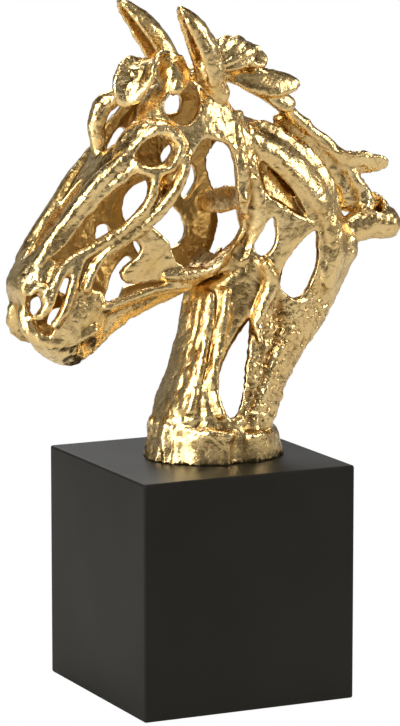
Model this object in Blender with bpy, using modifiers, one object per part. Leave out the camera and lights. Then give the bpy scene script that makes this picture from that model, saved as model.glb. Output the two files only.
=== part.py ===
"""Openwork horse-head bust, cast as one piece, standing on a square black block.

Metres, +Z up. The origin is the centre of the block's underside, and the horse looks along -X.
"""

import math

import bmesh
import bpy
import numpy as np
from mathutils import Matrix, Vector

# Driving dimensions
BLOCK_SIDE = 0.147
BLOCK_HEIGHT = 0.152
BLOCK_EDGE_RADIUS = 0.0015
BUST_HEIGHT = 0.291
WALL = 0.0050
SEAT_GAP = 0.0003

# The figure is drawn in figure units, of which the bust is 291 high: x is 0 over the middle of the
# block, with the nose at -x, y is 0 on the plane between the two sides, and z is 0 on the block's top.
# The horse's left side, which shows in front, has y below 0.
UNIT = BUST_HEIGHT / 291
RING_POINTS = 36
VOXEL = 1.6
SMOOTH_ROUNDS = 3
RIDGE_LIFT = 1.0
BUST_TRIANGLES = 9000

# Head sections from the lips to the poll: dorsal point, ventral point, half width, squareness
HEAD = [
    ((-129, 112), (-120, 86), 12, 0.9),
    ((-131, 121), (-106, 71), 20, 0.85),
    ((-126, 131), (-92, 66), 24, 0.8),
    ((-117, 141), (-80, 72), 24, 0.8),
    ((-107, 153), (-66, 83), 22, 0.8),
    ((-95, 167), (-51, 92), 22, 0.8),
    ((-83, 182), (-36, 99), 26, 0.75),
    ((-71, 198), (-18, 107), 31, 0.7),
    ((-59, 214), (1, 118), 35, 0.7),
    ((-47, 230), (19, 137), 37, 0.7),
    ((-35, 243), (27, 160), 36, 0.8),
    ((-22, 250), (28, 186), 31, 0.9),
    ((-6, 252), (24, 208), 22, 1.0),
]
# Neck sections from the poll round to the foot
NECK = [
    ((2, 232), (2, 200), 22, 0.9),
    ((27, 219), (14, 178), 26, 0.9),
    ((56, 203), (20, 155), 29, 0.9),
    ((80, 182), (20, 135), 29, 0.9),
    ((98, 154), (8, 121), 28, 0.9),
    ((111, 131), (-5, 111), 26, 0.9),
    ((104, 114), (-11, 99), 25, 0.9),
    ((87, 85), (-13, 84), 25, 0.9),
    ((72, 67), (-16, 69), 27, 0.9),
    ((60, 50), (-22, 50), 29, 0.9),
    ((52, 33), (-28, 33), 32, 0.9),
    ((48, 18), (-32, 15), 33.5, 0.9),
    ((54, 7), (-34, 6), 35, 0.9),
    ((57, -4), (-36, -4), 36, 0.9),
]

# Openings seen from the side: corners (x, z) that a round outline runs through
LEFT_OPENINGS = {
    "eye": [(-56, 201), (-51, 208), (-42, 211), (-35, 203), (-40, 195), (-51, 193)],
    "face": [(-58, 187), (-79, 167), (-101, 144), (-112, 137), (-104, 135), (-86, 141), (-66, 154),
             (-53, 167), (-51, 182)],
    "cheek": [(-6, 207), (-17, 206), (-24, 194), (-27, 181), (-37, 167), (-48, 157), (-37, 144), (-30, 131),
              (-18, 126), (-4, 128), (12, 138), (19, 152), (12, 165), (10, 186), (5, 202)],
    "jaw": [(-73, 146), (-59, 146), (-53, 139), (-65, 125), (-58, 118), (-40, 119), (-25, 117), (-50, 111),
            (-71, 103), (-78, 113), (-85, 117), (-82, 131)],
    "plate": [(29, 191), (38, 186), (47, 178), (55, 168), (63, 153), (54, 157), (43, 164), (33, 171)],
    "neck_front": [(39, 156), (30, 145), (28, 134), (34, 130), (41, 140)],
    "neck_back": [(70, 145), (58, 138), (45, 120), (46, 109), (56, 101), (65, 106), (72, 122), (72, 134)],
    "legs": [(24, 92), (10, 76), (0, 54), (0, 40), (7, 27), (15, 37), (20, 58), (25, 82)],
    "temple": [(-34, 234), (-17, 243), (-13, 235), (-17, 223), (-27, 217), (-37, 224)],
}
RIGHT_OPENINGS = {
    "eye": [(-11, 186), (-12, 193), (-5, 198), (0, 191), (-4, 183)],
    "face": [(-41, 152), (-38, 167), (-22, 176), (-11, 172), (-14, 158), (-31, 148)],
    "small": [(-64, 139), (-62, 149), (-53, 149), (-52, 137), (-61, 133)],
    "cheek_front": [(-24, 154), (-14, 160), (-3, 157), (3, 144), (-3, 134), (-14, 134)],
    "cheek_slit": [(4, 185), (9, 184), (11, 177), (8, 167), (2, 163)],
    "cheek_back": [(17, 180), (18, 195), (28, 201), (42, 190), (38, 169), (23, 164)],
    "cheek_low": [(27, 153), (20, 143), (24, 128), (40, 131), (48, 148), (38, 155)],
    "jaw": [(-40, 129), (-50, 122), (-58, 110), (-62, 99), (-52, 102), (-45, 110), (-34, 112), (-35, 121)],
    "vent": [(-35, 137), (-28, 138), (-25, 131), (-31, 129)],
    "lip": [(-90, 110), (-88, 119), (-79, 119), (-76, 110), (-83, 107)],
    "nostril": [(-110, 97), (-108, 106), (-99, 106), (-101, 96), (-107, 93)],
    "mouth": [(-99, 88), (-95, 97), (-85, 99), (-84, 91), (-92, 86)],
    "temple": [(-13, 231), (-13, 221), (-8, 217), (-1, 220), (-3, 232)],
    "throat": [(52, 121), (52, 137), (65, 150), (75, 144), (70, 128), (60, 119)],
    "neck_back": [(66, 100), (72, 118), (86, 137), (99, 145), (102, 128), (90, 102), (77, 90)],
    "legs": [(51, 87), (33, 66), (25, 45), (26, 30), (35, 15), (43, 30), (50, 62)],
    "brow": [(-56, 201), (-51, 209), (-41, 211), (-35, 202), (-41, 194), (-52, 193)],
}
# Openings that lean to the nose by LEAN for each unit outward
NOSE_OPENINGS = {
    "nostril": [(-128, 104), (-128, 113), (-122, 115), (-118, 111), (-118, 104), (-122, 99)],
    "mouth": [(-107, 119), (-103, 124), (-97, 124), (-95, 116), (-98, 107), (-105, 96), (-113, 89),
              (-120, 90), (-126, 98), (-120, 100), (-113, 103), (-109, 111)],
}
LEAN = 0.45
# Openings seen along the face or from below: two tips (x, z) and the half width in y
MIDDLE_OPENINGS = {
    "bridge": ((-121, 134), (-87, 187), 9),
    "forehead": ((-72, 201), (-44, 236), 15),
    "under_jaw": ((-66, 81), (-12, 112), 11),
    "throat": ((22, 118), (28, 206), 20),
}

# Raised bands that follow the side skin: (x, z, half width) along each, how thick each is, and for
# one that juts past the skin's rim, the share of the way to the rim where it stops bending inward
RIDGES = {
    "brow": ([(-66, 194, 3.8), (-61, 204, 5.1), (-55, 211, 5.1), (-47, 216, 5), (-38, 215, 3.8),
              (-31, 206, 2.9)], 8),
    "eye_ring": ([(-61, 198, 2.8), (-56, 191, 3.2), (-47, 189, 3.2), (-37, 192, 2.8), (-31, 203, 2.6)], 7),
    "column_front": ([(-1, 107, 2.6), (-3, 90, 3.2), (-9, 67, 3.2), (-16, 46, 3.2), (-20, 34, 3.2)], 6),
    "column_back": ([(8, 109, 2.6), (6, 90, 3.2), (0, 68, 2.9), (-4, 48, 3.2), (-1, 32, 2.8)], 6),
}
LEFT_RIDGES = {
    "jaw_band": ([(16, 219, 5.8), (18, 200, 6), (21, 180, 7), (25, 163, 7.4), (27, 153, 6.4), (23, 142, 5.8),
                  (16, 129, 5.1), (-2, 122, 4.2), (-21, 121, 4.2), (-37, 122, 3.4)], 6),
    "neck_plate": ([(31, 207, 10.9), (48, 199, 12.2), (62, 186, 13.4), (74, 171, 12.8), (84, 151, 9.6),
                    (86, 131, 8.3), (81, 111, 7)], 7, 0.85),
    "jaw_line": ([(-76, 104, 3.2), (-59, 108, 3.2), (-46, 112, 3.2), (-33, 114, 3.2), (-18, 113, 3.2)], 6),
    "strut_upper": ([(-46, 188, 2.6), (-51, 170, 3.2), (-65, 154, 3.2), (-84, 142, 3.6), (-97, 135, 3.8),
                     (-107, 129, 3.5)], 7),
    "strut_lower": ([(-27, 198, 2.6), (-30, 186, 3.4), (-40, 169, 3.8), (-56, 153, 4.2), (-75, 140, 2.8),
                     (-84, 130, 2.9), (-90, 117, 2.9)], 7),
    "hatch": ([(-63, 189, 3.2), (-82, 172, 3.5), (-100, 151, 3.2), (-112, 139, 2.6)], 5),
    "throat_lobe": ([(32, 126, 3.2), (37, 115, 4.8), (34, 105, 4.8), (29, 95, 4), (27, 86, 3),
                     (28, 76, 1.8)], 11),
    "muzzle": ([(-92, 137, 2.9), (-97, 126, 2.9), (-101, 115, 2.9), (-106, 104, 2.6), (-112, 95, 2.2)], 6),
    "hook": ([(-98, 133, 3.2), (-106, 128, 3.5), (-111, 121, 3.2), (-114, 113, 2.9), (-118, 105, 2.9),
              (-122, 100, 2.2)], 6),
    "nostril_rim": ([(-126, 115, 1.6), (-123, 119, 2), (-118, 118, 2.2), (-117, 110, 2)], 5),
}
RIGHT_RIDGES = {
    "jaw_band": ([(12, 222, 5), (13, 204, 3.2), (14, 186, 2.6), (15, 170, 2.8), (15, 150, 3), (12, 136, 4),
                  (3, 124, 4.4), (-12, 118, 4.4), (-32, 118, 3.8)], 6),
    "neck_plate": ([(30, 212, 6), (50, 203, 8), (66, 189, 9), (82, 168, 8), (96, 150, 5)], 6),
    "strut_face": ([(-62, 178, 3), (-54, 164, 3.4), (-46, 148, 3.6), (-46, 134, 3.4), (-52, 122, 3)], 6),
    "neck_strut": ([(42, 162, 4), (46, 140, 3.6), (54, 110, 4), (62, 90, 3.6)], 5),
    "mouth_corner": ([(-76, 124, 3), (-74, 112, 3.4), (-80, 100, 3.4), (-84, 86, 3)], 6),
}
# Round bars that stand proud of the skin: (x, y, z, radius) along each
BARS = {
    "nasal": [(-60, -24, 199, 4.5), (-72, -20, 189, 5.2), (-83, -17, 178, 5.4), (-96, -14, 162, 4.8),
              (-108, -13, 147, 4.6), (-118, -13, 132, 4.4)],
    "lip": [(-126, -8, 104, 3.5), (-124, -12, 92, 4.5), (-113, -17, 84, 4.5), (-98, -19, 84, 4.5),
            (-84, -20, 90, 4.5)],
    "ear_root": [(2, -25, 234, 7), (-6, -26, 246, 7.5), (-10, -27, 254, 6)],
}
MIDDLE_BARS = {
    "curl": [(-54, -6, 238, 4), (-60, -1, 233, 5.5), (-67, 2, 228, 6), (-71, 3, 217, 5.5), (-70, 3, 207, 5),
             (-70, 3, 196, 4)],
    "crest_band": [(0, 0, 246, 6), (18, -1, 246, 6), (36, -2, 238, 6), (52, -3, 227, 5), (64, -3, 217, 4.5),
                   (76, -3, 207, 4.5), (88, -3, 197, 5), (99, -3, 187, 5), (107, -3, 176, 5),
                   (114, -3, 164, 6), (117, -3, 154, 8)],
    "crest_web": [(56, 3, 215, 4), (66, 3, 208, 7), (79, 3, 197, 8), (90, 3, 186, 8), (100, 3, 172, 8),
                  (107, 3, 158, 8)],
}
# The broken branch at the nape with its open end, outside and inside
STUB = [(104, -4, 140, 9), (116, -5, 144, 10), (126, -5, 145, 11), (133, -5, 142, 10)]
STUB_TUBE = [(115, 3, 138, 9), (119, -1, 147, 10.5), (121, -6, 155, 10.5)]
STUB_BORE = [(119, -1, 147, 4), (121, -7, 156, 7.8), (123, -15, 168, 10)]
# The foot's faceted collar: middle x, half length, half width, height at the front and at the back
COLLAR = (10, 45.5, 42.5, 25, 15)
COLLAR_SIDES = 13
# Round grooves cut into the skin, on the left side alone and on both
LEFT_GROOVES = {
    "eye_hollow": [(-40, -34, 184, 2), (-38, -35, 178, 4.5), (-41, -34, 172, 3)],
    "mouth_corner": [(-93, -23, 86, 1.5), (-87, -21, 81, 4), (-80, -14, 76, 2)],
    "trunk_channel": [(44, -27, 100, 2), (47, -28, 88, 4), (40, -27, 70, 4.5), (31, -30, 50, 4),
                      (22, -32, 34, 3)],
}
GROOVES = {
    "front_channel": [(3, -31, 92, 1.5), (0, -34, 68, 4), (-7, -37, 50, 5), (-12, -39, 36, 3.5)],
    "foot_notch": [(8, -46, -6, 9), (9, -44, 10, 9), (12, -39, 22, 7), (16, -32, 34, 3)],
}
# Ears: foot and tip of each
EARS = {
    "ear_left": ((-5, -25, 243), (-30, -32, 290)),
    "ear_right": ((-11, 25, 246), (-43, 31, 291)),
}
EAR_HALF_WIDTH = 12.5
EAR_WALL = 3.0
# Half of the angle that an ear's curved wall spans
EAR_WRAP = 118
# Locks and webs: root, middle, tip, the way each is wide, width, cup
LEAVES = {
    "forelock_big": ((-30, -8, 256), (-48, -14, 250), (-60, -12, 228), (-0.75, 0.35, -0.3), 27, -0.35),
    "forelock_curled": ((-25, -14, 260), (-29, -21, 250), (-28, -24, 236), (0.9, -0.43, 0.0), 20, -0.7),
    "poll_lock": ((0, -6, 252), (17, -10, 260), (35, -8, 259), (0.2, -0.5, -0.85), 24, 0.3),
    "poll_lobe": ((28, -4, 258), (36, -5, 255), (44, -4, 252), (0.3, 0.5, 0.8), 17, 0.2),
    "poll_lock_right": ((0, 12, 252), (14, 16, 262), (34, 14, 262), (0.2, 0.6, -0.8), 20, -0.4),
    "crest_lock": ((20, -6, 245), (42, -10, 240), (66, -8, 238), (0.1, -0.4, -0.9), 19, 0.3),
    "crest_lobe": ((44, -6, 232), (54, -8, 227), (64, -6, 225), (0.1, -0.3, -0.9), 13, 0.3),
    "crest_lock_right": ((32, 6, 243), (52, 12, 240), (70, 12, 236), (0.1, 0.5, -0.9), 16, -0.3),
    "under_plate": ((24, -24, 188), (45, -21, 171), (66, -24, 148), (-0.6, -0.3, -0.7), 27, 0.1),
    "wing": ((96, -6, 190), (113, -8, 184), (131, -8, 184), (0.1, 0.5, -0.85), 16, 0.3),
    "cheek_web": ((15, -34, 172), (13, -8, 166), (13, 30, 160), (0.1, 0.2, 0.95), 17, 0.2),
}
LEAF_WALL = 3.6
# Rows along an ear or a leaf, less one
BLADE_STEPS = 14


def clear_scene():
    for obj in list(bpy.data.objects):
        bpy.data.objects.remove(obj)


def collection(name):
    made = bpy.data.collections.new(name)
    bpy.context.scene.collection.children.link(made)
    return made


def spline(values, count):
    """Catmull-Rom through rows of numbers, evaluated at count even steps."""
    values = np.asarray(values, float)
    steps = np.linspace(0, len(values) - 1, count)
    index = np.minimum(steps.astype(int), len(values) - 2)
    t = (steps - index)[:, None]
    padded = np.vstack([2 * values[0] - values[1], values, 2 * values[-1] - values[-2]])
    a, b, c, d = (padded[index + k] for k in range(4))
    return 0.5 * (2 * b + (c - a) * t + (2 * a - 5 * b + 4 * c - d) * t**2 + (3 * b - a - 3 * c + d) * t**3)


def mesh_object(name, bm):
    mesh = bpy.data.meshes.new(name)
    bm.to_mesh(mesh)
    bm.free()
    made = bpy.data.objects.new(name, mesh)
    bpy.context.scene.collection.objects.link(made)
    return made


def section(row, inset):
    """One closed ring round a body: an oval between its dorsal and ventral points."""
    dorsal, ventral = row[0:2], row[2:4]
    half_width, power = row[4], row[5]
    middle = (dorsal + ventral) / 2
    axis = dorsal - middle
    depth = max(np.linalg.norm(axis) - inset, 0.5)
    axis = axis / np.linalg.norm(axis)
    half_width = max(half_width - inset, 0.5)
    angles = np.linspace(0, 2 * math.pi, RING_POINTS, endpoint=False)
    along = np.sign(np.cos(angles)) * np.abs(np.cos(angles)) ** power
    across = np.sign(np.sin(angles)) * np.abs(np.sin(angles)) ** power
    flat = middle + np.outer(along * depth, axis)
    return np.column_stack([flat[:, 0], across * half_width, flat[:, 1]])


def skin(rings):
    """A closed skin over rings of points, in figure units."""
    bm = bmesh.new()
    loops = [[bm.verts.new(Vector(p)) for p in ring] for ring in rings]
    count = len(loops[0])
    for first, second in zip(loops, loops[1:]):
        for i in range(count):
            j = (i + 1) % count
            bm.faces.new((first[i], first[j], second[j], second[i]))
    bm.faces.new(reversed(loops[0]))
    bm.faces.new(loops[-1])
    bmesh.ops.recalc_face_normals(bm, faces=bm.faces)
    return bm


def body(name, stations, inset=0.0, rings=44):
    rows = np.array([[*a, *b, w, n] for a, b, w, n in stations], float)
    return mesh_object(name, skin([section(row, inset) for row in spline(rows, rings)]))


def bar(name, points):
    """A round bar with a changing radius through (x, y, z, radius) points."""
    rows = spline(points, 6 * (len(points) - 1) + 1)
    centres, radii = rows[:, :3], rows[:, 3]
    tangents = np.gradient(centres, axis=0)
    tangents /= np.linalg.norm(tangents, axis=1)[:, None]
    angles = np.linspace(0, 2 * math.pi, 12, endpoint=False)
    side = np.cross(tangents[0], (0, 0, 1.0))
    if np.linalg.norm(side) < 0.1:
        side = np.array((0, 1.0, 0))
    rings = []
    for centre, tangent, radius in zip(centres, tangents, radii):
        side = side - tangent * (side @ tangent)
        side /= np.linalg.norm(side)
        up = np.cross(tangent, side)
        rings.append(centre + radius * (np.outer(np.cos(angles), side) + np.outer(np.sin(angles), up)))
    first = [centres[0] - tangents[0] * radii[0] * 0.6 + (p - centres[0]) * 0.55 for p in rings[0]]
    last = [centres[-1] + tangents[-1] * radii[-1] * 0.6 + (p - centres[-1]) * 0.55 for p in rings[-1]]
    return mesh_object(name, skin([first, *rings, last]))


def side_reach(places, edge):
    """How far the side skin stands from the middle plane at (x, z) places.

    Past the share edge of the way to the rim of the side view, it falls off no further.
    """
    reach = np.full(len(places), 3.0)
    for stations in (HEAD, NECK):
        rows = spline([[*a, *b, w, n] for a, b, w, n in stations], 60)
        middle = (rows[:, 0:2] + rows[:, 2:4]) / 2
        axis = rows[:, 0:2] - middle
        depth = np.linalg.norm(axis, axis=1)
        axis = axis / depth[:, None]
        off = places[:, None] - middle
        along = np.abs(np.sum(off * axis, axis=2)) / depth
        across = np.abs(off[..., 0] * axis[:, 1] - off[..., 1] * axis[:, 0])
        nearest = np.argmin(across + 1000 * (along > 1.1), axis=1)
        each = np.arange(len(places))
        share, power = np.minimum(along[each, nearest], edge), rows[nearest, 5]
        out = rows[nearest, 4] * (1 - share ** (2 / power)) ** (power / 2)
        reach = np.maximum(reach, np.where(across[each, nearest] < 6, out, 0))
    return reach


def ridge(name, side, line, thickness, edge=0.97):
    """A raised band on one side that follows the skin under it, thin at both ends."""
    rows = spline(line, 6 * (len(line) - 1) + 1)
    along = np.gradient(rows[:, :2], axis=0)
    along /= np.linalg.norm(along, axis=1)[:, None]
    first, last = rows[0].copy(), rows[-1].copy()
    first[:2] -= along[0] * first[2] * 0.7
    last[:2] += along[-1] * last[2] * 0.7
    first[2] *= 0.5
    last[2] *= 0.5
    rows = np.vstack([first, rows, last])
    along = np.vstack([along[0], along, along[-1]])
    angles = np.linspace(0, 2 * math.pi, 16, endpoint=False)
    rings = []
    for row, ahead in zip(rows, along):
        flat = row[:2] + np.outer(np.cos(angles) * row[2], (-ahead[1], ahead[0]))
        out = side_reach(flat, edge) + RIDGE_LIFT + thickness / 2 * np.sin(angles)
        rings.append(np.column_stack([flat[:, 0], side * out, flat[:, 1]]))
    return mesh_object(name, skin(rings))


def mirrored(points):
    return [(x, -y, z, r) for x, y, z, r in points]


def rounded(corners, steps=5):
    """A closed outline that runs smoothly through its corners."""
    looped = [*corners[-2:], *corners, *corners[:3]]
    line = spline(looped, steps * (len(looped) - 1) + 1)
    return [tuple(p) for p in line[2 * steps:(len(corners) + 2) * steps]]


def almond(tip_a, tip_b, left, right, fullness=0.62, steps=9):
    """A closed outline between two tips, with its own bulge on each side."""
    a, b = Vector(tip_a), Vector(tip_b)
    along = b - a
    normal = Vector((-along.y, along.x)).normalized()
    shares = [(1 - math.cos(math.pi * k / steps)) / 2 for k in range(steps + 1)]
    there = [a + along * s + normal * left * math.sin(math.pi * s) ** fullness for s in shares[:-1]]
    back = [b - along * s - normal * right * math.sin(math.pi * s) ** fullness for s in shares[:-1]]
    return there + back


def prism(name, outline, half_depth):
    """A flat outline in its own XY plane, thickened both ways along Z."""
    curve = bpy.data.curves.new(name, "CURVE")
    curve.dimensions = "2D"
    curve.fill_mode = "BOTH"
    curve.extrude = half_depth
    line = curve.splines.new("POLY")
    line.points.add(len(outline) - 1)
    line.use_cyclic_u = True
    for point, place in zip(line.points, outline):
        point.co = (place[0], place[1], 0, 1)
    drawn = bpy.data.objects.new(name, curve)
    bpy.context.scene.collection.objects.link(drawn)
    made = as_mesh(drawn)
    return made


def as_mesh(drawn):
    """The mesh of an object with its modifiers, in place of the object."""
    graph = bpy.context.evaluated_depsgraph_get()
    mesh = bpy.data.meshes.new_from_object(drawn.evaluated_get(graph))
    bm = bmesh.new()
    bm.from_mesh(mesh)
    bmesh.ops.remove_doubles(bm, verts=bm.verts, dist=1e-4)
    bm.to_mesh(mesh)
    bm.free()
    name = drawn.name
    matrix = drawn.matrix_world.copy()
    bpy.data.objects.remove(drawn)
    made = bpy.data.objects.new(name, mesh)
    made.matrix_world = matrix
    bpy.context.scene.collection.objects.link(made)
    return made


def placed(obj, matrix):
    """The object's mesh moved by a matrix, with its faces looking out."""
    obj.data.transform(matrix)
    bm = bmesh.new()
    bm.from_mesh(obj.data)
    bmesh.ops.recalc_face_normals(bm, faces=bm.faces)
    bm.to_mesh(obj.data)
    bm.free()
    return obj


def side_cutter(name, corners, sign, lean=0.0, inner=5.0, outer=60.0):
    """A prism across one side of the body, leaning to the nose by so much for each unit outward."""
    cutter = prism(name, rounded(corners), (outer - inner) / 2)
    middle = (outer + inner) / 2
    to_side = Matrix(((1, 0, -sign * lean, 0), (0, 0, 1, sign * middle), (0, 1, 0, 0), (0, 0, 0, 1)))
    to_side[0][3] = -lean * (middle - 18)
    return placed(cutter, to_side)


def middle_cutter(name, tip_a, tip_b, half_width, reach=14.0):
    """A prism through the skin on the plane between the two sides."""
    a, b = Vector((tip_a[0], 0, tip_a[1])), Vector((tip_b[0], 0, tip_b[1]))
    along = (b - a).normalized()
    across = Vector((0, 1, 0))
    out = along.cross(across)
    half = (b - a).length / 2
    cutter = prism(name, almond((-half, 0), (half, 0), half_width, half_width), reach)
    frame = Matrix((along, across, out)).transposed().to_4x4()
    frame.translation = (a + b) / 2
    return placed(cutter, frame)


def join(name, objects):
    """One object holding the meshes of several."""
    bm = bmesh.new()
    for obj in objects:
        bm.from_mesh(obj.data)
    for obj in objects:
        bpy.data.objects.remove(obj)
    bmesh.ops.recalc_face_normals(bm, faces=bm.faces)
    return mesh_object(name, bm)


def boolean(obj, tool, operation):
    modifier = obj.modifiers.new(operation.lower(), "BOOLEAN")
    modifier.operation = operation
    modifier.object = tool
    modifier.use_self = True
    obj = as_mesh(obj)
    bpy.data.objects.remove(tool)
    return obj


def blade(name, bm, rows, wall):
    """A thin curved wall over rows of vertices."""
    for first, second in zip(rows, rows[1:]):
        for i in range(len(first) - 1):
            bm.faces.new((first[i], first[i + 1], second[i + 1], second[i]))
    made = mesh_object(name, bm)
    thick = made.modifiers.new("thickness", "SOLIDIFY")
    thick.thickness = wall
    thick.offset = 0
    return as_mesh(made)


def ear(name, foot, tip):
    """A pointed cup that opens to the front: rings of an open arc along the ear, thick enough to cast."""
    foot, tip = Vector(foot), Vector(tip)
    axis = (tip - foot).normalized()
    open_to = Vector((-1, 0, 0.1))
    open_to = (open_to - axis * open_to.dot(axis)).normalized()
    across = axis.cross(open_to)
    bm = bmesh.new()
    rows = []
    for k in range(BLADE_STEPS + 1):
        s = k / BLADE_STEPS
        half = EAR_HALF_WIDTH * (0.8 + 0.75 * s) * (1 - s) ** 0.66 + 0.4
        centre = foot + (tip - foot) * s - open_to * 2.5 * math.sin(math.pi * s)
        row = []
        for angle in np.radians(np.linspace(-EAR_WRAP, EAR_WRAP, 13)):
            back = open_to * math.cos(angle) * half * 0.9
            row.append(bm.verts.new(centre - back + across * math.sin(angle) * half))
        rows.append(row)
    return blade(name, bm, rows, EAR_WALL)


def leaf(name, root, middle, tip, side, width, cup):
    """A cupped leaf of hair: its spine runs through three points, and side is the way it is wide."""
    root, middle, tip, side = (Vector(v) for v in (root, middle, tip, side))
    pull = middle * 2 - (root + tip) / 2
    bm = bmesh.new()
    rows = []
    for k in range(BLADE_STEPS + 1):
        s = k / BLADE_STEPS
        place = root * (1 - s) ** 2 + pull * 2 * s * (1 - s) + tip * s**2
        tangent = (pull - root) * 2 * (1 - s) + (tip - pull) * 2 * s
        flat = (side - tangent * side.dot(tangent) / tangent.length_squared).normalized()
        normal = tangent.cross(flat).normalized()
        swell = 0.5 + 0.5 * math.sin(math.pi * min(s, 0.6) / 1.2)
        half = width / 2 * swell * math.sqrt(max(1 - s**4, 0.02))
        row = []
        for t in np.linspace(-1, 1, 9):
            row.append(bm.verts.new(place + flat * t * half + normal * cup * half * t * t))
        rows.append(row)
    return blade(name, bm, rows, LEAF_WALL)


def collar():
    """The faceted rim round the foot, higher at the front."""
    middle, half_length, half_width, front, back = COLLAR
    bm = bmesh.new()
    bmesh.ops.create_cone(bm, cap_ends=True, segments=COLLAR_SIDES, radius1=1.0, radius2=0.93, depth=1.0)
    for vert in bm.verts:
        x, y, top = vert.co.x, vert.co.y, vert.co.z > 0
        share = (1 + x) / 2
        height = front + (back - front) * share if top else -6
        vert.co = (middle + x * half_length, y * half_width, height)
    return mesh_object("collar", bm)


def openwork_skin():
    """The hollow head and neck with their openings."""
    shell = body("head", HEAD)
    shell = boolean(shell, body("neck", NECK), "UNION")
    shell = boolean(shell, collar(), "UNION")
    inset = WALL / UNIT
    hollow = boolean(body("head_hollow", HEAD[1:], inset), body("neck_hollow", NECK[:-2], inset), "UNION")
    shell = boolean(shell, hollow, "DIFFERENCE")
    cutters = [side_cutter("left_" + n, o, -1) for n, o in LEFT_OPENINGS.items()]
    cutters += [side_cutter("right_" + n, o, 1) for n, o in RIGHT_OPENINGS.items()]
    cutters += [side_cutter("nose_" + n, o, -1, LEAN) for n, o in NOSE_OPENINGS.items()]
    cutters += [middle_cutter("middle_" + n, *o) for n, o in MIDDLE_OPENINGS.items()]
    cutters += [bar("groove_" + n, p) for n, p in {**LEFT_GROOVES, **GROOVES}.items()]
    cutters += [bar("groove_right_" + n, mirrored(p)) for n, p in GROOVES.items()]
    for start in range(3):
        # neighbours in the list may overlap, so they are cut in turn
        shell = boolean(shell, join("openings", cutters[start::3]), "DIFFERENCE")
    return shell


def raised_pieces():
    pieces = [bar("bar_" + n, p) for n, p in {**BARS, **MIDDLE_BARS}.items()]
    pieces += [bar("right_" + n, mirrored(p)) for n, p in BARS.items()]
    pieces += [ridge("left_" + n, -1, *r) for n, r in {**RIDGES, **LEFT_RIDGES}.items()]
    pieces += [ridge("right_" + n, 1, *r) for n, r in {**RIDGES, **RIGHT_RIDGES}.items()]
    stub = join("stub", [bar("stub_branch", STUB), bar("stub_tube", STUB_TUBE)])
    pieces.append(boolean(stub, bar("stub_bore", STUB_BORE), "DIFFERENCE"))
    pieces += [ear(n, *ends) for n, ends in EARS.items()]
    pieces += [leaf(n, *shape) for n, shape in LEAVES.items()]
    return pieces


def bust(voxel, smooth_rounds):
    """The whole casting as one smooth skin, in figure units."""
    cast = join("horse_bust", [openwork_skin(), *raised_pieces()])
    melt = cast.modifiers.new("melt", "REMESH")
    melt.mode = "VOXEL"
    melt.voxel_size = voxel
    relax = cast.modifiers.new("relax", "SMOOTH")
    relax.factor = 0.5
    relax.iterations = smooth_rounds
    return as_mesh(cast)


def keep_largest_piece(obj):
    """Only the connected skin with the most faces, so that nothing loose is left over."""
    bm = bmesh.new()
    bm.from_mesh(obj.data)
    bm.faces.ensure_lookup_table()
    left = set(bm.faces)
    pieces = []
    while left:
        piece, front = set(), [left.pop()]
        while front:
            face = front.pop()
            piece.add(face)
            for edge in face.edges:
                for other in edge.link_faces:
                    if other in left:
                        left.discard(other)
                        front.append(other)
        pieces.append(piece)
    pieces.sort(key=len)
    for piece in pieces[:-1]:
        bmesh.ops.delete(bm, geom=list(piece), context="FACES")
    bm.to_mesh(obj.data)
    bm.free()


def level_foot(obj, height):
    """Cut the underside level at a height and close it."""
    bm = bmesh.new()
    bm.from_mesh(obj.data)
    everything = bm.verts[:] + bm.edges[:] + bm.faces[:]
    cut = bmesh.ops.bisect_plane(
        bm, geom=everything, plane_co=(0, 0, height), plane_no=(0, 0, 1), clear_inner=True, dist=1e-6
    )
    rim = [e for e in cut["geom_cut"] if isinstance(e, bmesh.types.BMEdge)]
    bmesh.ops.holes_fill(bm, edges=rim)
    bmesh.ops.triangulate(bm, faces=bm.faces)
    bmesh.ops.recalc_face_normals(bm, faces=bm.faces)
    bm.to_mesh(obj.data)
    bm.free()


def material(name, colour, metallic, roughness):
    made = bpy.data.materials.new(name)
    made.use_nodes = True
    shader = made.node_tree.nodes["Principled BSDF"]
    shader.inputs["Base Color"].default_value = (*colour, 1)
    shader.inputs["Metallic"].default_value = metallic
    shader.inputs["Roughness"].default_value = roughness
    return made


def horse_bust():
    cast = bust(VOXEL, SMOOTH_ROUNDS)
    keep_largest_piece(cast)
    thin_out = cast.modifiers.new("thin_out", "DECIMATE")
    thin_out.ratio = BUST_TRIANGLES / sum(len(f.vertices) - 2 for f in cast.data.polygons)
    cast = as_mesh(cast)
    cast.data.transform(Matrix.Translation((0, 0, BLOCK_HEIGHT)) @ Matrix.Scale(UNIT, 4))
    level_foot(cast, BLOCK_HEIGHT + SEAT_GAP)
    return cast


def block():
    bm = bmesh.new()
    size = Matrix.Diagonal((BLOCK_SIDE, BLOCK_SIDE, BLOCK_HEIGHT, 1))
    bmesh.ops.create_cube(bm, size=1, matrix=Matrix.Translation((0, 0, BLOCK_HEIGHT / 2)) @ size)
    made = mesh_object("block", bm)
    rounding = made.modifiers.new("edges", "BEVEL")
    rounding.width = BLOCK_EDGE_RADIUS
    rounding.segments = 3
    return made


def main():
    clear_scene()
    parts = collection("horse_bust_on_block")
    pieces = {
        horse_bust(): material("gold_leaf", (0.83, 0.62, 0.30), 1.0, 0.3),
        block(): material("black_block", (0.02, 0.018, 0.015), 0.0, 0.5),
    }
    for piece, finish in pieces.items():
        bpy.context.scene.collection.objects.unlink(piece)
        parts.objects.link(piece)
        piece.data.materials.clear()
        piece.data.materials.append(finish)


main()
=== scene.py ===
"""The look of the openwork horse bust on its block: gold leaf, relief, light and camera."""

import math

import bmesh
import bpy
import numpy as np
from mathutils import Matrix, Vector


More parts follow.
